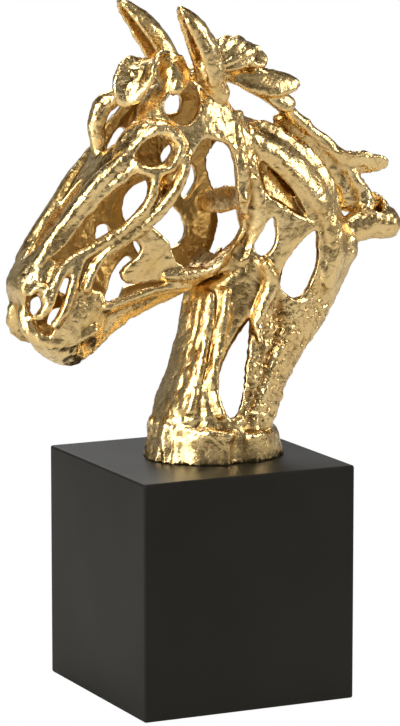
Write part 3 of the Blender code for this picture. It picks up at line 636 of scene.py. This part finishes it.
def ear(name, foot, tip):
    """A pointed cup that opens to the front: rings of an open arc along the ear, thick enough to cast."""
    foot, tip = Vector(foot), Vector(tip)
    axis = (tip - foot).normalized()
    open_to = (EAR_OPENS_TO - axis * EAR_OPENS_TO.dot(axis)).normalized()
    across = axis.cross(open_to)
    bm = bmesh.new()
    rows = []
    for k in range(BLADE_STEPS + 1):
        s = k / BLADE_STEPS
        # it swells from 0.8 of the given half width, then narrows to a blunt tip
        half = EAR_HALF_WIDTH * (0.8 + 0.75 * s) * (1 - s) ** 0.66 + 0.4
        centre = foot + (tip - foot) * s - open_to * EAR_BEND * math.sin(math.pi * s)
        row = []
        for angle in np.radians(np.linspace(-EAR_WRAP, EAR_WRAP, EAR_POINTS)):
            back = open_to * math.cos(angle) * half * EAR_DEPTH
            row.append(bm.verts.new(centre - back + across * math.sin(angle) * half))
        rows.append(row)
    return blade(name, bm, rows, EAR_WALL)


def leaf(name, root, middle, tip, side, width, cup):
    """A cupped leaf of hair: its spine runs through three points, and side is the way it is wide."""
    root, middle, tip, side = (Vector(v) for v in (root, middle, tip, side))
    pull = middle * 2 - (root + tip) / 2
    bm = bmesh.new()
    rows = []
    for k in range(BLADE_STEPS + 1):
        s = k / BLADE_STEPS
        place = root * (1 - s) ** 2 + pull * 2 * s * (1 - s) + tip * s**2
        tangent = (pull - root) * 2 * (1 - s) + (tip - pull) * 2 * s
        flat = (side - tangent * side.dot(tangent) / tangent.length_squared).normalized()
        normal = tangent.cross(flat).normalized()
        # it swells from half its width to all of it at 0.6 of its length, and ends in a round tip
        swell = 0.5 + 0.5 * math.sin(math.pi * min(s, 0.6) / 1.2)
        half = width / 2 * swell * math.sqrt(max(1 - s**4, 0.02))
        row = []
        for t in np.linspace(-1, 1, LEAF_POINTS):
            row.append(bm.verts.new(place + flat * t * half + normal * cup * half * t * t))
        rows.append(row)
    return blade(name, bm, rows, LEAF_WALL)


def collar():
    """The faceted rim round the foot, higher at the front."""
    middle, half_length, half_width, front, back = COLLAR
    bm = bmesh.new()
    bmesh.ops.create_cone(
        bm, cap_ends=True, segments=COLLAR_SIDES, radius1=1.0, radius2=COLLAR_TAPER, depth=1.0
    )
    for vert in bm.verts:
        x, y, top = vert.co.x, vert.co.y, vert.co.z > 0
        height = front + (back - front) * ((1 + x) / 2) if top else COLLAR_BOTTOM
        vert.co = (middle + x * half_length, y * half_width, height)
    return mesh_object("collar", bm)


def openwork_skin():
    """The hollow head and neck with their openings."""
    shell = body("head", HEAD)
    shell = boolean(shell, body("neck", NECK), "UNION")
    shell = boolean(shell, collar(), "UNION")
    inset = WALL / UNIT
    hollow = boolean(body("head_hollow", HEAD[1:], inset), body("neck_hollow", NECK[:-2], inset), "UNION")
    shell = boolean(shell, hollow, "DIFFERENCE")
    cutters = [side_cutter("left_" + n, o, -1) for n, o in LEFT_OPENINGS.items()]
    cutters += [side_cutter("right_" + n, o, 1) for n, o in RIGHT_OPENINGS.items()]
    cutters += [side_cutter("nose_" + n, o, -1, LEAN) for n, o in NOSE_OPENINGS.items()]
    cutters += [middle_cutter("middle_" + n, *o) for n, o in MIDDLE_OPENINGS.items()]
    cutters += [bar("groove_" + n, p) for n, p in {**LEFT_GROOVES, **GROOVES}.items()]
    cutters += [bar("groove_right_" + n, mirrored(p)) for n, p in GROOVES.items()]
    for start in range(CUT_TURNS):
        shell = boolean(shell, join("openings", cutters[start::CUT_TURNS]), "DIFFERENCE")
    return shell


def raised_pieces():
    """The bars, bands, stub, ears and locks that are joined to the shell."""
    pieces = [bar("bar_" + n, p) for n, p in {**BARS, **MIDDLE_BARS}.items()]
    pieces += [bar("right_" + n, mirrored(p)) for n, p in BARS.items()]
    pieces += [ridge("left_" + n, -1, *r) for n, r in {**RIDGES, **LEFT_RIDGES}.items()]
    pieces += [ridge("right_" + n, 1, *r) for n, r in {**RIDGES, **RIGHT_RIDGES}.items()]
    stub = join("stub", [bar("stub_branch", STUB), bar("stub_tube", STUB_TUBE)])
    pieces.append(boolean(stub, bar("stub_bore", STUB_BORE), "DIFFERENCE"))
    pieces += [ear(n, *ends) for n, ends in EARS.items()]
    pieces += [leaf(n, *shape) for n, shape in LEAVES.items()]
    return pieces


def bust():
    """The whole casting as one smooth skin, in figure units."""
    cast = join("horse_bust", [openwork_skin(), *raised_pieces()])
    melt = cast.modifiers.new("melt", "REMESH")
    melt.mode = "VOXEL"
    melt.voxel_size = FINE_VOXEL
    relax = cast.modifiers.new("relax", "SMOOTH")
    relax.factor = 0.5
    relax.iterations = FINE_SMOOTH_ROUNDS
    return as_mesh(cast)


def keep_largest_piece(obj):
    """Only the connected skin with the most faces, so that nothing loose is left over."""
    bm = bmesh.new()
    bm.from_mesh(obj.data)
    bm.faces.ensure_lookup_table()
    left = set(bm.faces)
    pieces = []
    while left:
        piece, front = set(), [left.pop()]
        while front:
            face = front.pop()
            piece.add(face)
            for edge in face.edges:
                for other in edge.link_faces:
                    if other in left:
                        left.discard(other)
                        front.append(other)
        pieces.append(piece)
    pieces.sort(key=len)
    for piece in pieces[:-1]:
        bmesh.ops.delete(bm, geom=list(piece), context="FACES")
    bm.to_mesh(obj.data)
    bm.free()


def level_foot(obj, height):
    """Cut the underside level at a height and close it."""
    bm = bmesh.new()
    bm.from_mesh(obj.data)
    everything = bm.verts[:] + bm.edges[:] + bm.faces[:]
    cut = bmesh.ops.bisect_plane(
        bm, geom=everything, plane_co=(0, 0, height), plane_no=(0, 0, 1), clear_inner=True, dist=1e-6
    )
    rim = [e for e in cut["geom_cut"] if isinstance(e, bmesh.types.BMEdge)]
    bmesh.ops.holes_fill(bm, edges=rim)
    bmesh.ops.triangulate(bm, faces=bm.faces)
    bmesh.ops.recalc_face_normals(bm, faces=bm.faces)
    bm.to_mesh(obj.data)
    bm.free()


def lattice_noise(points, seed):
    """Smooth gradient noise between about -1 and 1 at each point, with a slope hashed for each corner."""
    cell = np.floor(points).astype(np.int64)
    part = points - cell
    ease = part**3 * (part * (part * 6 - 15) + 10)
    total = np.zeros(len(points))
    for corner in np.ndindex(2, 2, 2):
        x, y, z = (cell + corner).T
        h = (x * 73856093) ^ (y * 19349663) ^ (z * 83492791) ^ (seed * 1013904223)
        h = (h ^ (h >> 13)) * 1274126177 & 0xFFFFFFFF
        h = (h ^ (h >> 16)) * 668265263 & 0xFFFFFFFF
        slope = np.column_stack([h & 1023, h >> 10 & 1023, h >> 20 & 1023]) / 511.5 - 1
        weight = np.prod(np.where(corner, ease, 1 - ease), axis=1)
        total += weight * np.sum(slope * (part - corner), axis=1)
    return total


def layered(points, size, seed, layers):
    """Noise of a given feature size with finer layers on top."""
    return sum(lattice_noise(points / size * 2**k + 17.3 * k, seed + k) / 2**k for k in range(layers))


def creases(points, size, seed, layers):
    """Sharp ridges between soft folds, from 0 in the creases to about 1."""
    folds = (lattice_noise(points / size * 2**k + 5.1 * k, seed + k) / 2**k for k in range(layers))
    return 1 - sum(np.abs(fold) for fold in folds) * 1.6


PATTERNS = {"soft": layered, "creased": creases}


def share(value, low, high):
    """0 below low, 1 above high, and a smooth step between."""
    t = np.clip((value - low) / (high - low), 0, 1)
    return t * t * (3 - 2 * t)


def fan(points, root, first, last, near, far, height, count):
    """Folds that radiate from a root in the side view, between two angles and two distances."""
    ahead, up = points[:, 0] - root[0], points[:, 2] - root[1]
    away = np.hypot(ahead, up)
    angle = np.degrees(np.arctan2(up, ahead)) % 360
    turn = (angle - first) / (last - first)
    inside = share(turn, -0.08, 0.04) * (1 - share(turn, 0.96, 1.08))
    inside = inside * share(away, near, near + 8) * (1 - share(away, far, far + 6))
    waver = 0.25 * lattice_noise(points / 9.0, count)
    return height * inside * (np.abs(np.sin(math.pi * (turn * count + waver))) - 0.55)


def dent(points, centre, size, depth):
    """A soft dent round a place."""
    away = np.sum(((points - centre) / size) ** 2, axis=1)
    return depth * np.exp(-away)


def behind(points, border):
    """How far each point lies behind a leaning border, along x."""
    x, y, z = points.T
    start, height, with_z, with_y = border
    return x - start - (z - height) * with_z - y * with_y


def zones(points):
    """How much each point belongs to the head, upper neck, back trunk, front columns and foot."""
    z = points[:, 2]
    low = 1 - share(z, *TRUNK_TOP)
    foot = 1 - share(z, *FOOT_TOP)
    back = share(behind(points, TRUNK_BORDER), -5, 5)
    head = (1 - low) * share(-behind(points, HEAD_BORDER), -10, 6)
    return {
        "head": head,
        "neck": (1 - low) * (1 - head),
        "trunk": low * back * (1 - foot),
        "front": low * (1 - back) * (1 - foot),
        "foot": foot,
    }


def crumple_zones(points, normals):
    """The zones, with smaller ones that have a crumple of their own."""
    x, _, z = points.T
    found = zones(points)
    stub = share(x, *STUB_ZONE[0]) * share(z, *STUB_ZONE[1])
    found["all"] = np.ones(len(points))
    found["bark"] = found["trunk"] + 0.7 * stub
    found["back_rim"] = (found["trunk"] + 0.6 * found["neck"]) * share(normals[:, 0], 0.25, 0.7)
    found["ledge"] = share(z, *LEDGE_ZONE[0]) * (1 - share(z, *LEDGE_ZONE[1]))
    found["flange"] = share(-x, *FLANGE_ZONE[0]) * (1 - share(z, *FLANGE_ZONE[1]))
    found["flange"] *= share(-normals[:, 0], 0.1, 0.6)
    return found


def relief(points, normals):
    """How far the crumpled leaf and the carving lift each point of the skin, in figure units."""
    found = crumple_zones(points, normals)
    drawn_out = {name: points * np.array(scale) for name, scale in STRETCHES.items()}
    down = np.array(DOWN_FACE)
    drawn_out["face"] = points - (points @ down)[:, None] * down * FACE_STRETCH
    lift = np.zeros(len(points))
    for zone, pattern, stretch, size, seed, layers, height, level in CRUMPLE:
        lift += found[zone] * (height * PATTERNS[pattern](drawn_out[stretch], size, seed, layers) + level)
    for shape in DENTS:
        lift -= dent(points, *shape)
    for shape in FANS:
        lift += fan(points, *shape)
    return lift


def skin_arrays(mesh):
    """The mesh's points and normals as arrays."""
    count = len(mesh.vertices)
    places, normals = np.empty(count * 3), np.empty(count * 3)
    mesh.vertices.foreach_get("co", places)
    mesh.vertex_normals.foreach_get("vector", normals)
    return places.reshape(-1, 3), normals.reshape(-1, 3)


def keep_inside(obj):
    """No point leaves the box of the CAD node that the fine skin stands for."""
    low, high = (Vector(c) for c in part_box("horse_bust"))
    for vertex in obj.data.vertices:
        vertex.co = Vector(min(max(c, a), b) for c, a, b in zip(vertex.co, low, high))


def fine_bust():
    """The casting with its relief, thinned out, in metres and in place on the block."""
    cast = bust()
    keep_largest_piece(cast)
    mesh = cast.data
    places, normals = skin_arrays(mesh)
    lifted = places + normals * relief(places, normals)[:, None]
    mesh.vertices.foreach_set("co", lifted.ravel())
    thin_out = cast.modifiers.new("thin_out", "DECIMATE")
    thin_out.ratio = FINE_TRIANGLES / sum(len(f.vertices) - 2 for f in mesh.polygons)
    cast = as_mesh(cast)
    cast.data.transform(Matrix.Translation((0, 0, BLOCK_HEIGHT)) @ Matrix.Scale(UNIT, 4))
    level_foot(cast, BLOCK_HEIGHT + SEAT_GAP)
    keep_inside(cast)
    for face in cast.data.polygons:
        face.use_smooth = True
    return cast


def hollows(mesh, places, normals):
    """How deep each point of a mesh lies in a hollow: 0 on ridges and flat skin, 1 at FULL_HOLLOW."""
    count = len(places)
    ends = np.empty(len(mesh.edges) * 2, np.int64)
    mesh.edges.foreach_get("vertices", ends)
    a, b = ends.reshape(-1, 2).T
    ways = np.bincount(a, minlength=count) + np.bincount(b, minlength=count)
    level = places.copy()
    for _ in range(LEVEL_ROUNDS):
        around = np.zeros_like(level)
        for axis in range(3):
            around[:, axis] = np.bincount(a, level[b, axis], count) + np.bincount(b, level[a, axis], count)
        level = around / np.maximum(ways, 1)[:, None]
    return np.sum((level - places) * normals, axis=1) / FULL_HOLLOW


def shade_and_crinkle_colours(obj):
    """A vertex colour: red for painted shade in hollows and down the trunk, green for painted shade on the
    inner side, blue where the leaf crinkles.
    """
    mesh = obj.data
    places, normals = skin_arrays(mesh)
    points = (places - (0, 0, BLOCK_HEIGHT)) / UNIT
    # Red: painted shade, darker the deeper a place lies in a hollow
    hollow = hollows(mesh, places, normals)
    # Painted shadow down the channel of the back trunk
    for centre in TRUNK_SHADOW_PLACES:
        hollow += dent(points, centre, TRUNK_SHADOW_SIZE, TRUNK_SHADOW_SHARE)
    hollow = np.clip(hollow, 0, 1)
    # Green: painted shade on the shell's inner side, away from the middle plane and below the ears
    inner = share(-np.sign(places[:, 1]) * normals[:, 1], 0.1, 0.5)
    inner *= share(np.abs(places[:, 1]), *INNER_OFF)
    inner *= 1 - share(places[:, 2], *INNER_TOP)
    found = zones(points)
    crinkle = 0.3 + 0.4 * share(layered(points, 26, 91, 2), -0.1, 0.45)
    crinkle += 0.4 * found["trunk"] - 0.12 * found["foot"]
    layer = mesh.color_attributes.new("shade_and_crinkle", "FLOAT_COLOR", "POINT")
    opaque = np.ones(len(points))
    layer.data.foreach_set("color", np.column_stack([hollow, inner, crinkle, opaque]).ravel())


def nodes_of(name):
    """A new material with its node tree and main shader."""
    made = bpy.data.materials.new(name)
    made.use_nodes = True
    tree = made.node_tree
    return made, tree, tree.nodes["Principled BSDF"]


def node(tree, kind, **values):
    """A shader node with its settings (names) and unlinked inputs (in_NAME or in_NUMBER)."""
    made = tree.nodes.new(kind)
    for key, value in values.items():
        if key.startswith("in_"):
            socket = key[3:]
            socket = int(socket) if socket.isdigit() else socket.replace("_", " ")
            made.inputs[socket].default_value = value
        else:
            setattr(made, key, value)
    return made


def shades(tree, amount, low, high, first, last):
    """Goes from one colour to another between two values of an amount."""
    made = node(tree, "ShaderNodeValToRGB")
    for stop, position, colour in zip(made.color_ramp.elements, (low, high), (first, last)):
        stop.position = position
        stop.color = colour
    tree.links.new(amount, made.inputs["Fac"])
    return made.outputs["Color"]


def spread(tree, amount, low, high, first, last):
    """Maps an amount from one span of values to another, held at both ends."""
    made = node(tree, "ShaderNodeMapRange", in_1=low, in_2=high, in_3=first, in_4=last)
    tree.links.new(amount, made.inputs["Value"])
    return made.outputs["Result"]


def mixed(tree, colour, other, amount):
    """A colour that goes over to another fixed colour by an amount."""
    made = node(tree, "ShaderNodeMix", data_type="RGBA")
    made.inputs["B"].default_value = other
    tree.links.new(amount, made.inputs["Factor"])
    tree.links.new(colour, made.inputs["A"])
    return made.outputs["Result"]


def bumped(tree, height, distance, strength, under=None, invert=False):
    """A normal bent by a height, over another normal. The strength is a number or an output."""
    made = node(tree, "ShaderNodeBump", invert=invert, in_Distance=distance)
    tree.links.new(height, made.inputs["Height"])
    if isinstance(strength, float):
        made.inputs["Strength"].default_value = strength
    else:
        tree.links.new(strength, made.inputs["Strength"])
    if under:
        tree.links.new(under, made.inputs["Normal"])
    return made.outputs["Normal"]


def gold_leaf():
    """Champagne gold leaf on a crumpled casting: bright ridges, brown painted shade in the hollows and
    creases, and a duller inner side with darker painted shade.
    """
    made, tree, shader = nodes_of("gold_leaf_fine")
    link = tree.links.new
    creased = {"noise_type": "RIDGED_MULTIFRACTAL", "in_Offset": 0.9, "in_Gain": 1.2}
    grainy = {"in_Roughness": 0.6}
    patches = node(tree, "ShaderNodeTexNoise", in_Scale=38.0, in_Detail=5.0, **grainy)
    flakes = node(tree, "ShaderNodeTexVoronoi", feature="F1", in_Scale=420.0)
    foil = node(tree, "ShaderNodeTexNoise", in_Scale=300.0, in_Detail=4.0, in_Distortion=0.8, **grainy)
    lines = node(tree, "ShaderNodeTexNoise", in_Scale=170.0, in_Detail=2.0, **creased)
    folds = node(tree, "ShaderNodeTexNoise", in_Scale=70.0, in_Detail=3.0, **creased)
    place = node(tree, "ShaderNodeTexCoord").outputs["Object"]
    for texture in (patches, flakes, foil, lines, folds):
        link(place, texture.inputs["Vector"])
    shade_and_crinkle = node(tree, "ShaderNodeSeparateColor")
    link(node(tree, "ShaderNodeVertexColor", layer_name="shade_and_crinkle").outputs["Color"], shade_and_crinkle.inputs["Color"])
    hollow, inner, crinkle = (shade_and_crinkle.outputs[name] for name in ("Red", "Green", "Blue"))

    tint = shades(tree, patches.outputs["Fac"], 0.3, 0.7, GOLD_DEEP, GOLD_LIGHT)
    # Painted shade: the gold goes brown in the hollows and along the bumped creases
    shade_amount = node(tree, "ShaderNodeMath", operation="MAXIMUM")
    link(hollow, shade_amount.inputs[0])
    link(spread(tree, folds.outputs["Fac"], 0.95, 1.5, 0.0, 0.7), shade_amount.inputs[1])
    tint = mixed(tree, tint, GOLD_SHADE_BROWN, shade_amount.outputs["Value"])
    # Painted shade: the shell's inner side is darker
    tint = mixed(tree, tint, GOLD_INSIDE_SHADE, inner)
    link(tint, shader.inputs["Base Color"])

    dull = node(tree, "ShaderNodeMath", operation="MULTIPLY_ADD", in_1=0.12)
    link(inner, dull.inputs[0])
    link(spread(tree, foil.outputs["Fac"], 0.3, 0.75, 0.17, 0.35), dull.inputs[2])
    link(dull.outputs["Value"], shader.inputs["Roughness"])

    normal = bumped(tree, folds.outputs["Fac"], 0.0008, crinkle, invert=True)
    normal = bumped(tree, lines.outputs["Fac"], 0.0005, crinkle, normal, invert=True)
    normal = bumped(tree, foil.outputs["Fac"], 0.0006, 0.4, normal)
    normal = bumped(tree, flakes.outputs["Distance"], 0.0003, 0.15, normal)
    link(normal, shader.inputs["Normal"])
    shader.inputs["Metallic"].default_value = 1.0
    return made


def black_block():
    """Satin black lacquer with a faint orange peel and slightly clouded gloss."""
    made, tree, shader = nodes_of("black_block_fine")
    link = tree.links.new
    cloud = node(tree, "ShaderNodeTexNoise", in_Scale=9.0, in_Detail=6.0)
    peel = node(tree, "ShaderNodeTexNoise", in_Scale=900.0, in_Detail=3.0)
    place = node(tree, "ShaderNodeTexCoord").outputs["Object"]
    for texture in (cloud, peel):
        link(place, texture.inputs["Vector"])
    cloudy = cloud.outputs["Fac"]
    link(shades(tree, cloudy, 0.35, 0.7, BLACK_DEEP, BLACK_LIGHT), shader.inputs["Base Color"])
    link(spread(tree, cloudy, 0.3, 0.7, 0.42, 0.55), shader.inputs["Roughness"])
    link(bumped(tree, peel.outputs["Fac"], 0.0001, 0.15), shader.inputs["Normal"])
    shader.inputs["Specular IOR Level"].default_value = 0.22
    return made


def seen_by_camera(tree, usual, direct, out):
    """Joins two shaders: the second one for what the camera looks at directly."""
    both = node(tree, "ShaderNodeMixShader")
    tree.links.new(node(tree, "ShaderNodeLightPath").outputs["Is Camera Ray"], both.inputs[0])
    tree.links.new(usual.outputs[0], both.inputs[1])
    tree.links.new(direct.outputs[0], both.inputs[2])
    tree.links.new(both.outputs[0], out.inputs["Surface"])


def white_floor():
    """A pale floor that the camera sees as plain white."""
    bm = bmesh.new()
    bmesh.ops.create_grid(bm, x_segments=1, y_segments=1, size=FLOOR_SIZE)
    floor = mesh_object("floor", bm)
    sheet, tree, shader = nodes_of("white_floor")
    shader.inputs["Base Color"].default_value = FLOOR_PAPER
    shader.inputs["Roughness"].default_value = 0.8
    paper = node(tree, "ShaderNodeEmission", in_Strength=1.0)
    seen_by_camera(tree, shader, paper, tree.nodes["Material Output"])
    floor.data.materials.append(sheet)


def white_room():
    """Soft light from a room with bright and dark parts, which the camera sees as plain white."""
    world = bpy.data.worlds.new("white_room")
    bpy.context.scene.world = world
    world.use_nodes = True
    tree = world.node_tree
    panels = node(tree, "ShaderNodeTexNoise", in_Scale=1.5, in_Detail=1.0, in_Distortion=0.4)
    tree.links.new(node(tree, "ShaderNodeTexCoord").outputs["Generated"], panels.inputs["Vector"])
    back = tree.nodes["Background"]
    bright = shades(tree, panels.outputs["Fac"], 0.38, 0.6, ROOM_DARK, ROOM_LIGHT)
    tree.links.new(bright, back.inputs["Color"])
    back.inputs["Strength"].default_value = ROOM_STRENGTH
    plain = node(tree, "ShaderNodeBackground", in_Strength=1.0)
    seen_by_camera(tree, back, plain, tree.nodes["World Output"])


def lamp(name, place, side, power, colour):
    """A square lamp that looks at the bust."""
    light = bpy.data.lights.new(name, "AREA")
    light.size = side
    light.energy = power
    light.color = colour
    made = bpy.data.objects.new(name, light)
    made.location = place
    made.rotation_euler = (LAMPS_LOOK_AT - made.location).to_track_quat("-Z", "Y").to_euler()
    bpy.context.scene.collection.objects.link(made)


def camera():
    """The photo's camera."""
    turn, rise = math.radians(CAMERA_TURN), math.radians(CAMERA_RISE)
    back = Vector((math.sin(turn) * math.cos(rise), -math.cos(turn) * math.cos(rise), math.sin(rise)))
    lens = bpy.data.cameras.new("photo_camera")
    lens.sensor_width = SENSOR
    lens.lens = FOCAL_PIXELS * SENSOR / PHOTO_HEIGHT
    made = bpy.data.objects.new("photo_camera", lens)
    made.location = CAMERA_PLACE
    made.rotation_euler = back.to_track_quat("Z", "Y").to_euler()
    bpy.context.scene.collection.objects.link(made)
    bpy.context.scene.camera = made


def scene():
    """The dressed part in its studio."""
    horse = fine_bust()
    horse.name = "horse_bust_fine"
    horse.data.materials.clear()
    horse.data.materials.append(gold_leaf())
    shade_and_crinkle_colours(horse)
    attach(horse, "root")
    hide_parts("horse_bust")
    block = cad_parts["block"]
    block.material_slots[0].material = black_block()
    white_floor()
    white_room()
    for name, settings in LAMPS.items():
        lamp(name, *settings)
    camera()
    bpy.context.scene.view_settings.view_transform = "Standard"


scene()
